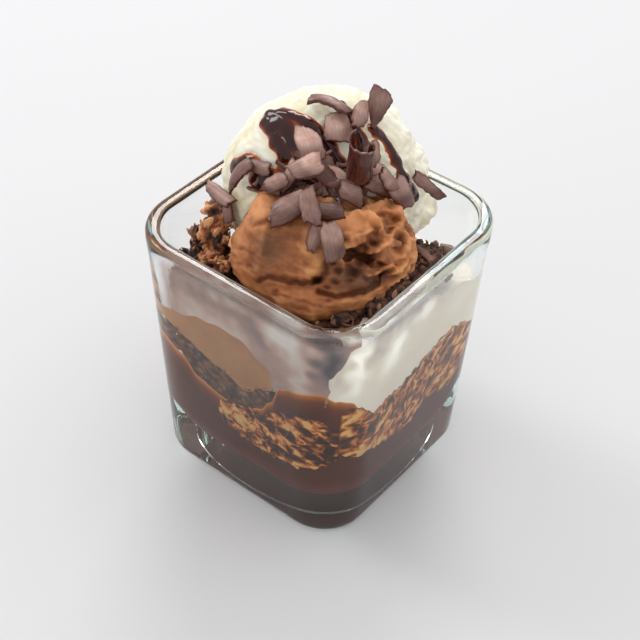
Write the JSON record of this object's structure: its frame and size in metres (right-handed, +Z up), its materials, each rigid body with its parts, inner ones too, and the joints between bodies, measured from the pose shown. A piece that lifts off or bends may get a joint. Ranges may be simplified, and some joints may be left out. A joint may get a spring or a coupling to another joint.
{
  "type": "dessert shooter",
  "caption": "Square glass of layered ganache, toffee crunch, crumb, mousse and cream, topped by two scoops, chocolate sauce and curls.",
  "frame": {"origin": "centre of the glass's foot, on the surface it stands on", "axes": "+Z up along the glass's axis; the flat sides face +X, -X, +Y and -Y; the front corner with the mousse scoop above it points to +X, -Y"},
  "size_m": [0.065, 0.065, 0.0991],
  "materials": {
    "clear_glass": "polished, faintly green where it is thick",
    "ganache": "moist dark brown",
    "toffee_crunch": "broken golden brown flakes in dark sauce",
    "cookie_crumb": "packed dark crumb",
    "mousse": "soft airy matt",
    "vanilla_cream": "soft whipped ivory",
    "brownie": "crumbly, almost black",
    "chocolate_curl": "matt dark chocolate with a pale bloom"
  },
  "bodies": {
    "root": {"brownie_front": "brownie", "brownie_left": "brownie", "chocolate_curl_01": "chocolate_curl", "chocolate_curl_02": "chocolate_curl", "chocolate_curl_03": "chocolate_curl", "chocolate_curl_04": "chocolate_curl", "chocolate_curl_05": "chocolate_curl", "chocolate_curl_06": "chocolate_curl", "chocolate_curl_07": "chocolate_curl", "chocolate_curl_08": "chocolate_curl", "chocolate_curl_09": "chocolate_curl", "chocolate_curl_10": "chocolate_curl", "chocolate_curl_11": "chocolate_curl", "chocolate_curl_12": "chocolate_curl", "chocolate_curl_13": "chocolate_curl", "chocolate_curl_14": "chocolate_curl", "chocolate_curl_15": "chocolate_curl", "chocolate_curl_16": "chocolate_curl", "chocolate_curl_17": "chocolate_curl", "chocolate_curl_18": "chocolate_curl", "chocolate_curl_19": "chocolate_curl", "chocolate_curl_20": "chocolate_curl", "chocolate_curl_21": "chocolate_curl", "chocolate_curl_22": "chocolate_curl", "chocolate_curl_23": "chocolate_curl", "chocolate_curl_24": "chocolate_curl", "chocolate_curl_25": "chocolate_curl", "chocolate_curl_26": "chocolate_curl", "chocolate_curl_27": "chocolate_curl", "chocolate_curl_28": "chocolate_curl", "chocolate_curl_29": "chocolate_curl", "chocolate_curl_30": "chocolate_curl", "cookie_crumb_band": "cookie_crumb", "cream_layer": "vanilla_cream", "ganache": "ganache", "glass": "clear_glass", "mousse_layer": "mousse", "mousse_scoop": "mousse", "toffee_crunch_left": "toffee_crunch", "toffee_crunch_right": "toffee_crunch", "vanilla_scoop": "vanilla_cream"}
  },
  "joints": []
}
